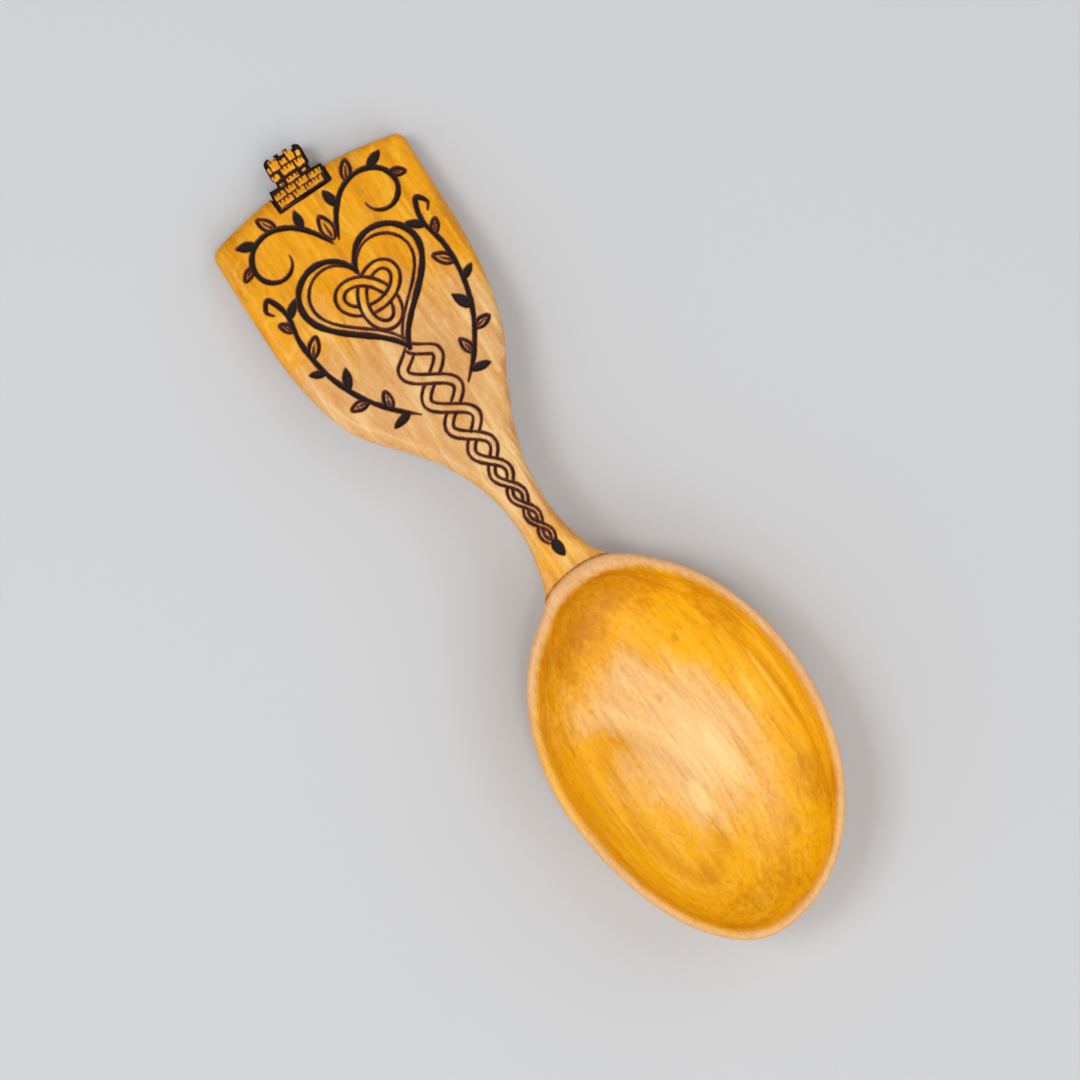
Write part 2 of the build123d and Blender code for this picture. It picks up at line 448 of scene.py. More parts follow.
def crossings(first, second, same):
    # Where one path crosses another, or itself: the two places along them
    p, r = first[:-1], first[1:] - first[:-1]
    q, s = second[:-1], second[1:] - second[:-1]
    gap = q[None] - p[:, None]
    size = cross(r[:, None], s[None])
    size = np.where(abs(size) < 1e-12, 1e-12, size)  # so that steps side by side don't divide by zero
    t, u = cross(gap, s[None]) / size, cross(gap, r[:, None]) / size
    i, j = np.nonzero((t >= 0) & (t < 1) & (u >= 0) & (u < 1))
    if same:
        # Neighbouring steps touch without crossing, and so do the two ends of a closed path
        near = drawing["weave"]["near"]
        keep = (j - i > near) & ~((i < near - 1) & (j > len(p) - near))
        i, j = i[keep], j[keep]
    return list(zip(i.tolist(), j.tolist()))


def woven(strands, halfBands, width):
    # Both edges of each strand, left out where it passes under another, over and under by turns
    weave = drawing["weave"]
    visits = [[] for strand in strands]
    upper = []
    for m, strand in enumerate(strands):
        for n in range(m, len(strands)):
            for i, j in crossings(strand, strands[n], m == n):
                visits[m].append((i, len(upper), n, j))
                visits[n].append((j, len(upper), m, i))
                upper.append(None)
    edges = []
    for m, (strand, half) in enumerate(zip(strands, halfBands)):
        way = np.gradient(strand, axis=0)
        way /= np.linalg.norm(way, axis=1)[:, None]
        across = np.stack([-way[:, 1], way[:, 0]], 1)
        order = sorted(visits[m])
        isOver = upper[order[0][1]] in (None, m)
        under = []
        for i, knot, n, j in order:
            if m != n:
                upper[knot] = m if isOver else n
            if not isOver:
                top = strands[n][max(j - weave["upper"], 0):j + weave["upper"] + 1]
                under.append((i, top, halfBands[n][min(j, len(half) - 1)]))
            isOver = not isOver
        steps = np.arange(len(strand))
        for side in (1, -1):
            edge = strand + across * (half * side)[:, None]
            hidden = np.zeros(len(strand), bool)
            for i, top, reach in under:
                gap = np.linalg.norm(edge[:, None] - top[None], axis=2).min(1)
                hidden |= (abs(steps - i) < weave["lower"]) & (gap < reach)
            for run in np.split(steps, np.nonzero(np.diff(hidden.astype(int)))[0] + 1):
                if len(run) >= weave["shortest"] and not hidden[run[0]]:
                    edges.append((edge[run], np.full(len(run), width)))
    return edges


def heartStrokes():
    # The usual heart curve, from the dip round to the dip again, lighter at the dip and the tip
    t = np.linspace(0, 2 * pi, drawing["heartPoints"])
    height = 13 * np.cos(t) - 5 * np.cos(2 * t) - 2 * np.cos(3 * t) - np.cos(4 * t)
    heart = np.stack([16 * np.sin(t) ** 3, height], 1)
    light = drawing["heartPress"]
    press = light + (1 - light) * np.sin(t % pi) ** 0.5
    centre = (drawing["middle"], drawing["heartCentre"])
    return [(heart * size + centre, width * press) for size, width in drawing["hearts"]]


def knotStrokes():
    # A trefoil knot inside the hearts
    knot = drawing["knot"]
    t = np.linspace(0, 2 * pi, knot["points"])
    band = np.stack([np.sin(t) + 2 * np.sin(2 * t), np.cos(t) - 2 * np.cos(2 * t)], 1) * knot["size"]
    band += (drawing["middle"], drawing["heartCentre"] - knot["drop"])
    return woven([band], [np.full(len(t), knot["halfBand"])], knot["line"])


def twistStrokes():
    # Two strands that swing from side to side, closer together and narrower towards the bowl
    twist = drawing["twist"]
    end, top = twist["spacing"][0][0], twist["spacing"][-1][0]
    y = np.linspace(top, end, twist["points"])
    spacing, spread, centre, half = (
        np.interp(y, *zip(*twist[key])) for key in ("spacing", "spread", "centre", "halfBand"))
    swing = np.concatenate([[0], np.cumsum(np.diff(-y) * pi / ((spacing[1:] + spacing[:-1]) / 2))])
    spread = spread * np.clip((top - y) / twist["opening"], 0, 1) ** 0.5
    strands = [np.stack([centre + side * spread * np.sin(swing), y], 1) for side in (1, -1)]
    return woven(strands, [half, half], twist["line"])


def allStrokes():
    spray = smoothThrough(drawing["spray"])
    scroll = drawing["scroll"]
    scrollPath = curl(scroll["start"], scroll["heading"], scroll["length"], scroll["bend"])
    sides = [stroke(spray, drawing["sprayWidth"], drawing["sprayLift"])]
    sides += leavesOn(spray, drawing["sprayLeaves"])
    sides += [stroke(scrollPath, scroll["width"], drawing["scrollLift"])]
    sides += leavesOn(scrollPath, drawing["scrollLeaves"])
    foot = np.array(drawing["turretFoot"])
    # The stop cut's dark line is painted shade under the rim's step
    stopCutAndShade = smoothThrough(drawing["stopCutAndShade"])
    return (
        heartStrokes() + knotStrokes() + twistStrokes() + mirrored(sides)
        + leaf(*drawing["topLeaf"], False) + leaf(*drawing["bud"], True)
        + [(foot[:, :2], foot[:, 2]), (stopCutAndShade, np.full(len(stopCutAndShade), drawing["stopCutAndShadeWidth"]))])


def burnDistance(places, strokes):
    # Distance in mm from each place to the nearest burnt line's edge, less than zero inside the line
    step, reach, dot = drawing["rasterStep"], drawing["reach"], drawing["dotStep"]
    low = np.array(drawing["rasterLow"])
    columns, rows = drawing["rasterSize"]
    field = np.full((rows, columns), reach, np.float32)
    random = np.random.default_rng(drawing["wobbleSeed"])
    for path, width in strokes:
        lengths = np.concatenate([[0], np.cumsum(np.linalg.norm(np.diff(path, axis=0), axis=1))])
        along = np.arange(0, lengths[-1] + dot, dot)
        x, y, half = (np.interp(along, lengths, values) for values in (path[:, 0], path[:, 1], width / 2))
        swings = random.uniform(0, 2 * pi, 3)  # the third is spare
        waves = [np.sin(along / length + swing) for length, swing in zip(drawing["wobbleLengths"], swings)]
        half = half * (1 + drawing["wobble"] * sum(waves))
        for px, py, r in zip(x, y, half):
            left, right = (int((px + side * (r + reach) - low[0]) / step) for side in (-1, 1))
            bottom, top = (int((py + side * (r + reach) - low[1]) / step) for side in (-1, 1))
            left, bottom = max(left, 0), max(bottom, 0)
            dx = low[0] + np.arange(left, right + 1) * step - px
            dy = low[1] + np.arange(bottom, top + 1) * step - py
            patch = field[bottom:top + 1, left:right + 1]
            gap = np.sqrt(dx[None, :] ** 2 + dy[:, None] ** 2) - r
            np.minimum(patch, gap[:patch.shape[0], :patch.shape[1]], out=patch)
    # The field's value at each place, between its four nearest cells and just short of the last
    u = np.clip((places[:, 0] - low[0]) / step, 0, columns - 1.001)
    v = np.clip((places[:, 1] - low[1]) / step, 0, rows - 1.001)
    i, j = u.astype(int), v.astype(int)
    fu, fv = u - i, v - j
    lower = field[j, i] * (1 - fu) + field[j, i + 1] * fu
    higher = field[j + 1, i] * (1 - fu) + field[j + 1, i + 1] * fu
    return lower * (1 - fv) + higher * fv


# Wood: lime, carved and sanded, then oiled to a warm amber satin

wood = {
    "tan": "#E1A96A",
    "deepTan": "#C98C4E",
    "paleTan": "#FFDF9C",
    "amber": "#EFA000",
    # The hollow's tan is lighter than the tan elsewhere: a painted sheen
    "bowlTanAndSheen": "#F4C278",
    "bowlAmber": "#FCB600",
    "deepAmber": "#C27400",
    "brightAmber": "#FFCB45",
    "poreColour": "#9A5F14",
    "rimTan": "#E8B580",
    "rimShade": "#C98545",
    "scorched": "#5C220C",
    "charred": "#0E0503",
    "charSheen": "#1E130E",
    # Zones of tone: along (Y) or up (Z), and mm from where each starts to where it is full
    "zones": {
        "panel": ("Y", 42, 70),
        "bowl": ("Y", -9, -17),
        "beneath": ("Y", 14, -42),  # the underside turns sooner and more slowly
        "low": ("Z", 15, 9),  # down here the underside's zone counts and not the bowl's
    },
    # Where the oil took deep or stayed light: x, y, reach across and along in mm, and how much more amber;
    # the first, the bowl's paler middle, is partly wood tone and partly a painted sheen
    "tonePatches": (
        (0, -53, 20, 25, -1.15), (-10, -37, 15, 10, -0.55), (0, -22, 20, 8, 0.35), (-20, -45.5, 10, 5, 0.55),
        (14, -36, 8, 12, 0.35), (-14, 66, 7, 5, -0.3), (9, 72, 6, 6, -0.25), (22, 48, 6, 18, 0.35),
        (1, -6, 13, 13, 0.55),
    ),
    # Deeper amber where the oil took deep; those on the bowl's far and lower right walls, along the panel's
    # edges and down the right side of the neck are painted shade
    "deepAndShadePatches": (
        (18, -76, 6, 10, 0.5), (-4, -88, 16, 5, 0.35), (-24, -34, 7, 15, 0.35), (22, -30, 7, 15, 0.5),
        (3, -18, 26, 10, 0.6), (-13, -26, 11, 8, 0.45), (1, -43.5, 1.5, 1.5, 0.5),
        (10.5, -35, 1.6, 1.6, 0.45), (0, 87, 30, 4, 0.5), (24.2, 66, 3, 26, 0.6), (-24.6, 58, 1.8, 30, 0.5), (-20, 81, 8, 9, 0.4),
        (5.5, 2, 1.9, 12, 1.0), (5.4, 11, 1.9, 7, 1.0), (7.2, 18.5, 2.1, 5, 1.0), (9.8, 24, 2.3, 5, 1.0),
        (13.4, 30, 2.5, 6, 0.9), (18.2, 37.5, 2.6, 8, 0.7), (22, 47, 2.2, 9, 0.6),
    ),
    # Paler where the wood stayed light; the narrow streaks and the broad patch in the bowl are painted
    # highlights and sheen
    "paleAndHighlightPatches": (
        (-4.3, -65.5, 2.2, 6, 0.7), (4.6, -61, 1.4, 9, 0.65), (17.2, -52, 1.3, 8, 0.7),
        (21.2, -53, 0.8, 14, 0.65), (24, -48, 0.7, 10, 0.55), (3, -57, 12, 16, 0.45), (-13, 59, 11, 3, 0.35),
        (4, 76, 4, 12, 0.25), (2, 14, 9, 18, 0.4), (1, -6, 7, 6, 0.4),
    ),
    "patchEdge": (0.25, 1.15),  # from where a patch starts to fade to where it ends, as shares of its reach
    "toneGrain": 0.7,  # how much the grain breaks the borders of the tone
    "toneRange": (0.95, 1.95),  # the sum that is still tan, and the one that is all amber
    # Grain: mm across, along and through, then detail and roughness
    "grain": {
        "drift": ((6.7, 16.7, 6.7), 3.0, 0.5),  # bends the borders of the patches
        "streaks": ((2.6, 70, 2.6), 2.0, 0.5),
        "thread": ((1.1, 45, 1.1), 2.0, 0.5),
        "fine": ((0.5, 14, 0.5), 3.0, 0.5),
        "mottle": ((0.8, 1.4, 0.8), 4.0, 0.7),
        "cloud": ((3.5, 6.5, 3.5), 3.0, 0.6),
        "pores": ((0.2, 1.3, 0.2), 1.0, 0.5),
        "facets": ((3.4, 24, 3.4), 1.0, 0.4),  # what is left of the gouge's strokes
    },
    "driftReach": (8, 10),  # mm across and along by which drift moves a border, half of it each way
    "ringWidth": 3.8,  # mm from one growth ring to the next
    "ringAxis": (-30.0, -70.0),  # mm, x and z of the tree's heart
    "ringTilt": (4.5, 0, 1.5),  # degrees
    "ringSway": ((40, 70, 40), 14),  # mm: the size of the waves that make the rings uneven, and their reach
    "thinLine": 0.43,  # the value among the rings at which a thin pale line runs
    "deepGrain": (("thread", 0.5), ("mottle", 0.3)),  # what breaks the deep patches, and how much
    "paleGrain": 1.4,  # how much the fine grain breaks the pale ones
    "rim": {
        "ragged": (("mottle", 0.9), ("cloud", 1.6)),  # mm by which the grain makes its inner edge uneven
        "edge": (2.3, 4.2),  # mm in from the outline, unevenness and all, from pale to the hollow's tone
        "strength": 0.92,
        "top": (16.6, 18.8),  # mm up, from where it starts to where it is full
        "patches": ((-26, -43, 10, 19, -0.6),),  # where it was handled and took more oil
        "tanFlecks": (0.4, 0.7),  # the fine grain's values from rimTan to tan
        "shadeFlecks": (0.45, 0.75, 0.5),  # the mottle's values from none to full, and how strong
    },
    "burn": {
        "fleckSize": (0.5, 0.9, 0.5),
        "fleckReach": 0.26,  # mm by which flecks make a burnt edge ragged
        "ashSize": (1.0, 1.0, 1.0),
        "ashReach": 0.3,
        "sheen": (0.0, -0.3, 0.6),  # mm into the char, from none to full, and how strong
        "roughness": 0.65,
    },
    "roughness": (0.27, 0.42),  # from the hard streaks to the soft ones
    "roughnessGrain": (0.3, 0.8),  # the fine grain's values at these two
    "ior": 1.47,
    "specular": 0.26,
    "relief": {"fine": 0.5, "pores": -0.3, "facets": 2.2},
    "bumpStrength": 0.5,
    "bumpDepth": 0.12,
}


def softPatches(tree, where, start, ovals):
    # A starting value plus what each soft oval adds
    total = start
    fadeStart, fadeEnd = wood["patchEdge"]
    for x, y, across, along, amount in ovals:
        centred = addNode(
            tree, "Mapping", Vector=where,
            Location=(-x / across, -y / along, 0), Scale=(1 / (across * mm), 1 / (along * mm), 0))
        reach = addNode(tree, "VectorMath", lengthOf, in0=centred)
        share = addNode(
            tree, "MapRange", smooth, Value=reach,
            From_Min=fadeStart, From_Max=fadeEnd, To_Min=amount, To_Max=0.0)
        total = addNode(tree, "Math", add, in0=share, in1=total)
    return total


def oiledLime(name, gouging, halo=0.0, hasRim=False, figure=1.0):
    # Lime wood has faint growth rings, fine lengthwise streaks and small pores; oil makes it amber and satin.
    # Gouging is how much the tool's facets show, halo how many mm heat browned, figure how the streaks show
    material = bpy.data.materials.new(name)
    material.use_nodes = True
    tree = material.node_tree
    shader = tree.nodes["Principled BSDF"]
    colours = {key: linearColour(value) for key, value in wood.items() if isinstance(value, str)}
    place = addNode(tree, "TexCoord", output="Object")
    along = addNode(tree, "SeparateXYZ", output="Y", Vector=place)
    up = addNode(tree, "SeparateXYZ", output="Z", Vector=place)
    grain = {}
    for key, (size, detail, rough) in wood["grain"].items():
        stretched = addNode(tree, "Mapping", Vector=place, Scale=perMetre(size))
        grain[key] = addNode(tree, "TexNoise", Vector=stretched, Scale=1.0, Detail=detail, Roughness=rough)

    # Broad tone, 0 tan to 1 amber, with its borders bent and broken along the grain
    driftAcross, driftAlong = wood["driftReach"]
    drift = grain["drift"].node.outputs["Color"]
    moved = addNode(
        tree, "VectorMath", scaledAdd, in0=drift, in1=(driftAcross * mm, driftAlong * mm, 0), in2=place)
    moved = addNode(
        tree, "VectorMath", subtract, in0=moved, in1=(driftAcross / 2 * mm, driftAlong / 2 * mm, 0))
    zones = {}
    for key, (axis, start, full) in wood["zones"].items():
        where = {"Y": along, "Z": up}[axis]
        zones[key] = addNode(tree, "MapRange", smooth, Value=where, From_Min=start * mm, From_Max=full * mm)
    inBowl = addNode(tree, "Mix", mixValue, Factor=zones["low"], A=zones["bowl"], B=zones["beneath"])
    tone = addNode(tree, "Math", add, in0=inBowl, in1=zones["panel"])
    tone = softPatches(tree, moved, tone, wood["tonePatches"])
    for key in ("streaks", "mottle", "cloud"):
        tone = addNode(tree, "Math", scaledAdd, in0=grain[key], in1=wood["toneGrain"], in2=tone)
    start, full = wood["toneRange"]
    tone = addNode(tree, "MapRange", smooth, Value=tone, From_Min=start, From_Max=full)
    # The hollow is yellower than the rest, and its tan is lighter as a painted sheen; "upward" is 1 where the
    # surface faces up and 0 beneath
    upward = addNode(tree, "Attribute", {"attribute_name": "upward"}, output="Fac")
    inHollow = addNode(tree, "Math", multiply, in0=upward, in1=inBowl)
    tan = addNode(tree, "Mix", mixColour, Factor=inHollow, A=colours["tan"], B=colours["bowlTanAndSheen"])
    amber = addNode(tree, "Mix", mixColour, Factor=inHollow, A=colours["amber"], B=colours["bowlAmber"])
    base = addNode(tree, "Mix", mixColour, Factor=tone, A=tan, B=amber)
    deep = addNode(tree, "Mix", mixColour, Factor=tone, A=colours["deepTan"], B=colours["deepAmber"])
    pale = addNode(tree, "Mix", mixColour, Factor=tone, A=colours["paleTan"], B=colours["brightAmber"])

    # Growth rings: uneven soft bands about the tree's heart, below the spoon and to its left, with a few
    # thin pale lines
    x, z = wood["ringAxis"]
    size, reach = wood["ringSway"]
    centre = ((-x - reach / 2) * mm, 0, (-z - reach / 2) * mm)
    tilt = [radians(angle) for angle in wood["ringTilt"]]
    sway = addNode(tree, "Mapping", Vector=place, Scale=perMetre(size))
    sway = addNode(tree, "TexNoise", output="Color", Vector=sway, Scale=1.0, Detail=1.0)
    swayed = addNode(tree, "VectorMath", scaledAdd, in0=sway, in1=(reach * mm, 0, reach * mm), in2=place)
    turned = addNode(tree, "Mapping", Vector=swayed, Location=centre, Rotation=tilt)
    across = addNode(tree, "VectorMath", multiply, in0=turned, in1=(1, 0, 1))
    years = addNode(tree, "VectorMath", lengthOf, in0=across)
    years = addNode(tree, "Math", multiply, in0=years, in1=1 / (wood["ringWidth"] * mm))
    rings = addNode(
        tree, "TexNoise", {"noise_dimensions": "1D"}, W=years, Scale=1.0, Detail=3.0, Roughness=0.6)
    thinLine = addNode(tree, "Math", subtract, in0=rings, in1=wood["thinLine"])
    thinLine = addNode(tree, "Math", absolute, in0=thinLine)

    # Deep and pale patches, partly painted shade and painted highlights, follow the grain as well
    oilDeepAndShade = softPatches(tree, moved, 0.0, wood["deepAndShadePatches"])
    for key, amount in wood["deepGrain"]:
        oilDeepAndShade = addNode(tree, "Math", scaledAdd, in0=grain[key], in1=amount, in2=oilDeepAndShade)
    oilPaleAndHighlights = softPatches(tree, place, 0.0, wood["paleAndHighlightPatches"])
    oilPaleAndHighlights = addNode(tree, "Math", scaledAdd, in0=grain["fine"], in1=wood["paleGrain"], in2=oilPaleAndHighlights)

    # Each layer: what it follows, where it starts and where it is full, how strong it is, and its colour
    for follows, start, full, strength, layer in (
        (rings, 0.48, 0.74, 0.40, deep),
        (thinLine, 0.02, 0.0, 0.34, pale),
        (grain["streaks"], 0.50, 0.78, 0.55 * figure, deep),
        (grain["streaks"], 0.48, 0.22, 0.50 * figure, pale),
        (grain["thread"], 0.50, 0.78, 0.45 * figure, deep),
        (grain["thread"], 0.48, 0.22, 0.38 * figure, pale),
        (oilDeepAndShade, 0.42, 1.30, 0.85, deep),
        (grain["mottle"], 0.50, 0.72, 0.32, deep),
        (grain["mottle"], 0.46, 0.28, 0.26, pale),
        (oilPaleAndHighlights, 0.80, 1.55, 0.85, pale),
        (grain["fine"], 0.50, 0.78, 0.28, deep),
        (grain["pores"], 0.64, 0.80, 0.16, colours["poreColour"]),
    ):
        share = addNode(
            tree, "MapRange", smooth, Value=follows, From_Min=start, From_Max=full, To_Max=strength)
        base = addNode(tree, "Mix", mixColour, Factor=share, A=base, B=layer)

    if hasRim:
        # The rubbed rim stayed paler than the hollow; "inward" is how far in from the bowl's outline a
        # point lies, in mm
        rim = wood["rim"]
        inward = addNode(tree, "Attribute", {"attribute_name": "inward"}, output="Fac")
        for key, amount in rim["ragged"]:
            inward = addNode(tree, "Math", scaledAdd, in0=grain[key], in1=amount, in2=inward)
        start, end = rim["edge"]
        inward = addNode(
            tree, "MapRange", smooth, Value=inward,
            From_Min=start, From_Max=end, To_Min=rim["strength"], To_Max=0.0)
        start, full = rim["top"]
        onTop = addNode(tree, "MapRange", smooth, Value=up, From_Min=start * mm, From_Max=full * mm)
        onRim = addNode(tree, "Math", multiply, in0=inward, in1=onTop)
        handled = softPatches(tree, place, 1.0, rim["patches"])
        onRim = addNode(tree, "Math", multiply, in0=onRim, in1=handled)
        start, full = rim["tanFlecks"]
        share = addNode(tree, "MapRange", smooth, Value=grain["fine"], From_Min=start, From_Max=full)
        rimTone = addNode(tree, "Mix", mixColour, Factor=share, A=colours["rimTan"], B=colours["tan"])
        start, full, strength = rim["shadeFlecks"]
        share = addNode(
            tree, "MapRange", smooth, Value=grain["mottle"], From_Min=start, From_Max=full, To_Max=strength)
        rimTone = addNode(tree, "Mix", mixColour, Factor=share, A=rimTone, B=colours["rimShade"])
        base = addNode(tree, "Mix", mixColour, Factor=onRim, A=base, B=rimTone)

    (start, full), (hard, soft) = wood["roughnessGrain"], wood["roughness"]
    roughness = addNode(
        tree, "MapRange", smooth, Value=grain["fine"],
        From_Min=start, From_Max=full, To_Min=hard, To_Max=soft)
    if halo:
        # Heat browned the wood beside each burnt line, and thin lines stay brown; "burn" is the distance
        # from a line, in mm
        burn = wood["burn"]
        distance = addNode(tree, "Attribute", {"attribute_name": "burn"}, output="Fac")
        flecks = addNode(tree, "Mapping", Vector=place, Scale=perMetre(burn["fleckSize"]))
        flecks = addNode(tree, "TexNoise", Vector=flecks, Scale=1.0, Detail=2.0)
        ragged = addNode(tree, "Math", scaledAdd, in0=flecks, in1=burn["fleckReach"], in2=distance)
        ash = addNode(tree, "Mapping", Vector=place, Scale=perMetre(burn["ashSize"]))
        ash = addNode(tree, "TexNoise", Vector=ash, Scale=1.0, Detail=2.0)
        sheen = addNode(tree, "Math", scaledAdd, in0=ash, in1=burn["ashReach"], in2=ragged)
        start, full, strength = burn["sheen"]
        sheen = addNode(tree, "MapRange", smooth, Value=sheen, From_Min=start, From_Max=full, To_Max=strength)
        char = addNode(tree, "Mix", mixColour, Factor=sheen, A=colours["charred"], B=colours["charSheen"])
        # Each layer: mm from the line where it starts and where it is full, how strong it is, and its colour
        meanFleck = burn["fleckReach"] / 2
        for start, full, strength, layer in (
            (halo + meanFleck, meanFleck, 0.45, colours["scorched"]),
            (0.25, 0.09, 1.0, colours["scorched"]),
            (0.08, -0.15, 1.0, char),
        ):
            share = addNode(
                tree, "MapRange", smooth, Value=ragged, From_Min=start, From_Max=full, To_Max=strength)
            base = addNode(tree, "Mix", mixColour, Factor=share, A=base, B=layer)
        roughness = addNode(tree, "Mix", mixValue, Factor=share, A=roughness, B=burn["roughness"])
    tree.links.new(base, shader.inputs["Base Color"])
    tree.links.new(roughness, shader.inputs["Roughness"])
    shader.inputs["IOR"].default_value = wood["ior"]
    shader.inputs["Specular IOR Level"].default_value = wood["specular"]
    weights, depth = wood["relief"], wood["bumpDepth"] * mm
    facets = weights["facets"] * gouging
    relief = addNode(tree, "Math", multiply, in0=grain["fine"], in1=weights["fine"])
    relief = addNode(tree, "Math", scaledAdd, in0=grain["pores"], in1=weights["pores"], in2=relief)
    relief = addNode(tree, "Math", scaledAdd, in0=grain["facets"], in1=facets, in2=relief)
    bump = addNode(tree, "Bump", Height=relief, Strength=wood["bumpStrength"], Distance=depth)
    tree.links.new(bump, shader.inputs["Normal"])
    return material


# Handle: the neck and the flat panel in one, with the drawing burnt into its face

handle = {
    "voxel": 0.5,
    "smoothing": 3,
    "overlap": 0.8,  # mm that the neck's end reaches into the bowl
    "atBowl": 0.06,  # mm from the bowl within which a point is on that end
    "footEnd": 88.2,  # mm in y
    "footFace": 3,  # mm in z; what is higher is the foot's face
    "footSink": 1.3,  # mm that it stays below the turret's face
    "rootReach": (6.0, 0.3),  # mm from the bowl, from where the neck's underside swells to where it is full
    "rootEnd": 2,  # mm in y, past which it doesn't
    "rootFacing": (0.35, -0.35),  # the normal's z, from the sides to the underside
    "rootCurve": 1.5,
    "rootSwell": (-3.0, -1.5),  # mm in y and z
    "fineNear": 0.75,  # mm from a burnt line within which the mesh is twice as fine
    "fineFacing": 0.2,
    "fineHeight": 4,
    "carving": (0.12, 9),  # mm deep, and mm from one wave to the next
    "burntFacing": 0.3,  # the normal's z above which the face is burnt
    "turretEdge": (84, 7.2, 2, -0.6),  # beside the turret: y above, x within, z above, facing above
    "grooveWall": (0.08, -0.3),  # mm from a line's edge, from where its groove starts to where it is full
}


def makeFoot():
    # The turret's foot fills the notch in the panel, so that the back of the handle has no seam
    foot = copyOfNodes("foot", "turret")
    cut = (0, handle["footEnd"] * mm, 0)
    bpy.ops.object.mode_set(mode="EDIT")
    bpy.ops.mesh.select_all(action="SELECT")
    bpy.ops.mesh.bisect(plane_co=cut, plane_no=(0, 1, 0), use_fill=True, clear_outer=True)
    bpy.ops.object.mode_set(mode="OBJECT")
    moveVertices(foot, placesOf(foot)[:, 2] > handle["footFace"], (0, 0, -handle["footSink"]))
    return foot


def bowlSurface():
    mesh = frame["nodes"]["bowl"].data
    return BVHTree.FromPolygons([v.co for v in mesh.vertices], [p.vertices for p in mesh.polygons])


def swellRoot(piece, surface):
    # Under the neck its root swells into the back of the bowl
    places, normals = placesOf(piece), normalsOf(piece)
    inReach = places[:, 1] < handle["rootEnd"]
    root = np.where(inReach, between(normals[:, 2], *handle["rootFacing"]), 0)
    for i in np.nonzero(root > 0)[0]:
        distance = surface.find_nearest(Vector(places[i].tolist()) * mm)[3] / mm
        root[i] *= between(distance, *handle["rootReach"])
    weighVertices(piece, "root", root ** handle["rootCurve"])
    for direction, amount in zip("YZ", handle["rootSwell"]):
        pushGroup(piece, "root", direction, amount)


def burnFace(piece, strokes):
    # Cuts the grooves, and keeps each point's distance from a line for the material
    places, normals = placesOf(piece), normalsOf(piece)
    y, x, z, facing = handle["turretEdge"]
    nearTurret = (places[:, 1] > y) & (abs(places[:, 0]) < x) & (places[:, 2] > z) & (normals[:, 2] > facing)
    burnt = (normals[:, 2] > handle["burntFacing"]) | nearTurret
    distance = np.where(burnt, burnDistance(places, strokes), drawing["reach"])
    weighVertices(piece, "groove", between(distance, *handle["grooveWall"]))
    pushGroup(piece, "groove", "NORMAL", -drawing["grooveDepth"])
    storeValues(piece, "burn", distance)


def makeHandle():
    foot = makeFoot()
    piece = copyOfNodes("burntHandle", "stem", "panel")
    foot.select_set(True)
    bpy.ops.object.join()
    surface = bowlSurface()
    atBowl = [
        place[1] < 0 and surface.find_nearest(Vector(place) * mm)[3] < handle["atBowl"] * mm
        for place in placesOf(piece).tolist()]
    moveVertices(piece, np.array(atBowl), (0, -handle["overlap"], 0))
    remeshEvenly(piece, handle["voxel"], handle["smoothing"])
    strokes = allStrokes()
    places, normals = placesOf(piece), normalsOf(piece)
    nearLine = burnDistance(places, strokes) < handle["fineNear"]
    onFace = (normals[:, 2] > handle["fineFacing"]) & (places[:, 2] > handle["fineHeight"])
    subdivideNear(piece, nearLine & onFace)
    handCarving(piece, *handle["carving"])
    swellRoot(piece, surface)
    burnFace(piece, strokes)
    storeUpward(piece)
    piece.data.materials.append(oiledLime("oiled_lime_burnt", gouging=0.25, halo=0.4))
    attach(piece, "root")
    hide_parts("stem", "panel")
    triangles = sum(len(face.vertices) - 2 for face in piece.data.polygons)
    print("handle:", len(piece.data.vertices), "points,", triangles, "triangles")


# Bowl: hollowed and dished, with a pale rounded rim

bowl = {
    "voxel": 0.42,
    "smoothing": 3,
    "carving": (0.16, 10),  # mm deep, and mm from one wave to the next
    "middle": (0.0, -53.0),
    "rimHeight": (12.0, 19.0),  # mm up, from where the rim is rubbed round to where it is rubbed most
    "rimRub": 0.6,
    "rimPasses": 40,
    "lipReach": 1.5,  # mm, how far the rim is drawn out over the root of the neck
    "lipSides": ((-11.5, -4.5), (19.0, 6.0)),  # mm in x, from where it starts to where it is full
    "lipAlong": (-25, -15),
    "lipHeight": (9, 16),
    "outlineStep": 2,  # degrees
    "outlineHeight": 14,  # mm up, above which the rim's outline is read
    "neckRim": (1.1, -22, -14),  # mm by which the pale rim widens at the neck, and in y from where to where
}


def inwardFrom(places, middle):
    # How far in from the rim's outline each point lies, seen from above, in mm
    step = radians(bowl["outlineStep"])
    count = 360 // bowl["outlineStep"]
    x, y = places[:, 0] - middle[0], places[:, 1] - middle[1]
    angle, reach = np.arctan2(y, x), np.hypot(x, y)
    steps = np.round(angle / step).astype(int) % count
    outline = np.zeros(count)
    high = places[:, 2] > bowl["outlineHeight"]
    np.maximum.at(outline, steps[high], reach[high])
    rim = np.interp(angle % (2 * pi), np.arange(count + 1) * step, np.append(outline, outline[0]))
    wider, start, full = bowl["neckRim"]
    return rim - reach - wider * between(places[:, 1], start, full)


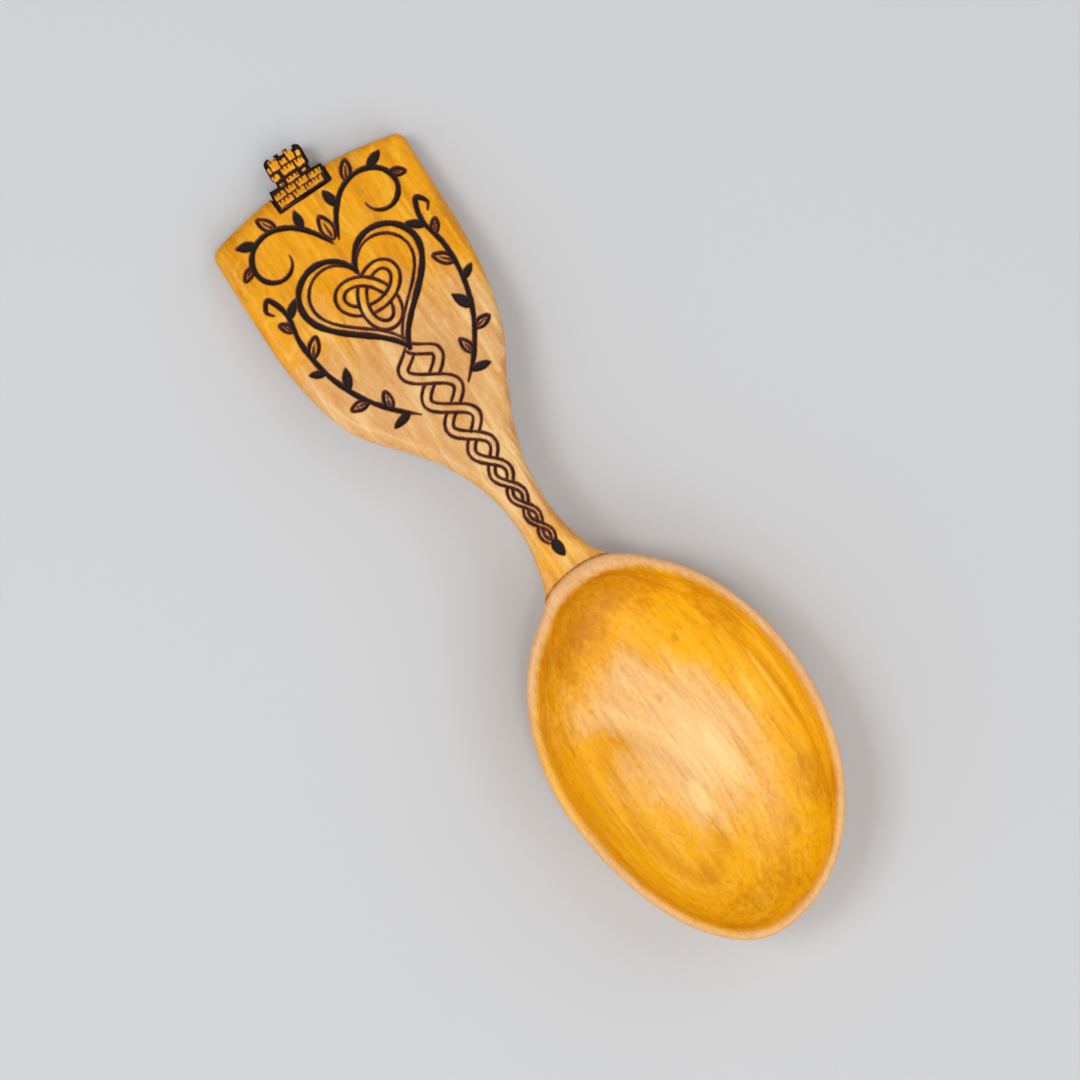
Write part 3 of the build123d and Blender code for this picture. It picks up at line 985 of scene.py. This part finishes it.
def makeBowl():
    piece = copyOfNodes("oiledBowl", "bowl")
    remeshEvenly(piece, bowl["voxel"], bowl["smoothing"])
    weighVertices(piece, "rim", between(placesOf(piece)[:, 2], *bowl["rimHeight"]))
    applyModifier(piece, "SMOOTH", factor=bowl["rimRub"], iterations=bowl["rimPasses"], vertex_group="rim")
    x, y, z = placesOf(piece).T
    lip = np.minimum(*(between(x, start, full) for start, full in bowl["lipSides"]))
    weighVertices(piece, "lip", lip * between(y, *bowl["lipAlong"]) * between(z, *bowl["lipHeight"]))
    pushGroup(piece, "lip", "Y", bowl["lipReach"])
    handCarving(piece, *bowl["carving"])
    storeValues(piece, "inward", inwardFrom(placesOf(piece), bowl["middle"]))
    storeUpward(piece)
    piece.data.materials.append(oiledLime("oiled_lime_carved", gouging=1.0, hasRim=True, figure=0.72))
    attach(piece, "root")
    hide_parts("bowl")
    print("bowl:", len(piece.data.vertices), "points")


# Turret: stone courses cut and burnt into the end of the panel

turret = {
    "voxel": 0.16,
    "smoothing": 2,
    "lap": 0.25,  # mm that the base reaches into the panel, under the burnt outline
    "baseTop": 88.9,  # mm in y
    "baseEdges": (86, 5, 2),  # past these lie the points of its lower edge, its sides and its back
    # Stones: left, right, bottom, top in mm
    "stones": (
        (-5.65, -2.4, 85.5, 86.75), (-1.85, 0.6, 85.5, 86.8), (1.05, 4.9, 85.45, 86.65),
        (-5.65, -3.3, 87.2, 88.45), (-2.8, -0.7, 87.25, 88.5), (-0.15, 2.2, 87.15, 88.45),
        (2.75, 5.5, 87.0, 88.2), (-1.5, 1.2, 89.05, 90.0),
        (-3.9, -2.4, 90.85, 92.0), (-1.35, 1.4, 90.95, 92.35), (2.0, 3.75, 90.7, 92.2),
        (-2.75, -1.05, 92.75, 95.2), (-0.55, 0.75, 92.9, 94.0), (1.3, 2.65, 92.8, 95.1),
        (-3.75, -3.25, 92.75, 93.9), (3.25, 4.0, 92.6, 93.8),
        (-3.3, -2.4, 89.4, 89.8), (2.3, 3.0, 89.3, 89.8),
    ),
    "stoneGrowth": 0.1,  # mm that each stone is larger all round
    "stoneCorner": 0.15,
    "waver": ((0.035, 5.3, 1.7), (0.03, -2.9, 6.1)),  # mm of unevenness, and radians to each mm in x and y
    # Short tapering strokes down from each stone's upper edge
    "scratchWidth": 0.22,
    "scratchStart": 0.6,  # mm from the stone's left
    "scratchSpacing": 0.85,
    "scratchShift": 0.1,  # mm by which they stand unevenly
    "scratchLength": (0.35, 0.13),  # the shortest of three, and the step between them
    "scratchTaper": (1.2, 0.7),  # the width's share at the top, and what it loses on the way down
    "reach": 0.8,  # mm from a joint within which the distance is kept
    "jointDepth": 0.4,
    "jointFacing": 0.3,  # the normal's z above which joints are cut
    # A joint's wall: the share of its depth, and mm from the joint where it starts and where it is full
    "jointWall": ((0.25, 0.5, 0.05), (0.75, 0.08, -0.2)),
    "burntFacing": -0.2,  # the normal's z above which the joints' burn shows
    "backDistance": 0.3,  # mm, past the reach of the heat, so that the rest stays unburnt
}


def jointDistance(places):
    # Distance in mm to the burnt joints between the stones, less than zero inside a joint
    px, py = places[:, 0], places[:, 1]
    nearest = np.full(len(places), 9.0)
    rough = sum(amount * np.sin(inX * px + inY * py) for amount, inX, inY in turret["waver"])
    corner, spacing = turret["stoneCorner"], turret["scratchSpacing"]
    shortest, longer = turret["scratchLength"]
    broad, loss = turret["scratchTaper"]
    for k, (left, right, bottom, top) in enumerate(turret["stones"]):
        dx = abs(px - (left + right) / 2) - (right - left) / 2 + corner
        dy = abs(py - (bottom + top) / 2) - (top - bottom) / 2 + corner
        outside = np.hypot(np.maximum(dx, 0), np.maximum(dy, 0)) + np.minimum(np.maximum(dx, dy), 0)
        outside = outside - corner - turret["stoneGrowth"] + rough
        for s in range(int((right - left) / spacing)):
            x = left + turret["scratchStart"] + spacing * s + turret["scratchShift"] * ((k * 3 + s) % 3 - 1)
            length = shortest + longer * ((k + 2 * s) % 3)
            down = np.clip(top - py, 0, length)
            taper = turret["scratchWidth"] / 2 * (broad - loss * down / length)
            outside = np.maximum(outside, taper - np.hypot(px - x, top - down - py))
        nearest = np.minimum(nearest, outside)
    return np.clip(-nearest, -turret["reach"], turret["reach"])


def makeTurret():
    piece = copyOfNodes("scorchedTurret", "turret")
    places = placesOf(piece)
    inBase = places[:, 1] < turret["baseTop"]
    bottom, side, back = turret["baseEdges"]
    for edge, (x, y, z) in (
        (places[:, 1] < bottom, (0, -1, 0)),
        (places[:, 0] < -side, (-1, 0, 0)),
        (places[:, 0] > side, (1, 0, 0)),
        (places[:, 2] < back, (0, 0, 1)),
    ):
        moveVertices(piece, inBase & edge, (x * turret["lap"], y * turret["lap"], z * turret["lap"]))
    remeshEvenly(piece, turret["voxel"], turret["smoothing"])
    places, normals = placesOf(piece), normalsOf(piece)
    distance = jointDistance(places)
    wall = sum(share * between(distance, start, full) for share, start, full in turret["jointWall"])
    weighVertices(piece, "joints", np.where(normals[:, 2] > turret["jointFacing"], wall, 0))
    pushGroup(piece, "joints", "NORMAL", -turret["jointDepth"])
    burnt = np.where(normals[:, 2] > turret["burntFacing"], distance, turret["backDistance"])
    storeValues(piece, "burn", burnt)
    storeUpward(piece)
    piece.data.materials.append(oiledLime("oiled_lime_scorched", gouging=0.1, halo=0.16))
    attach(piece, "root")
    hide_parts("turret")
    print("turret:", len(piece.data.vertices), "points")


makeHandle()
makeBowl()
makeTurret()
print("wood: handle, bowl and turret are in place")
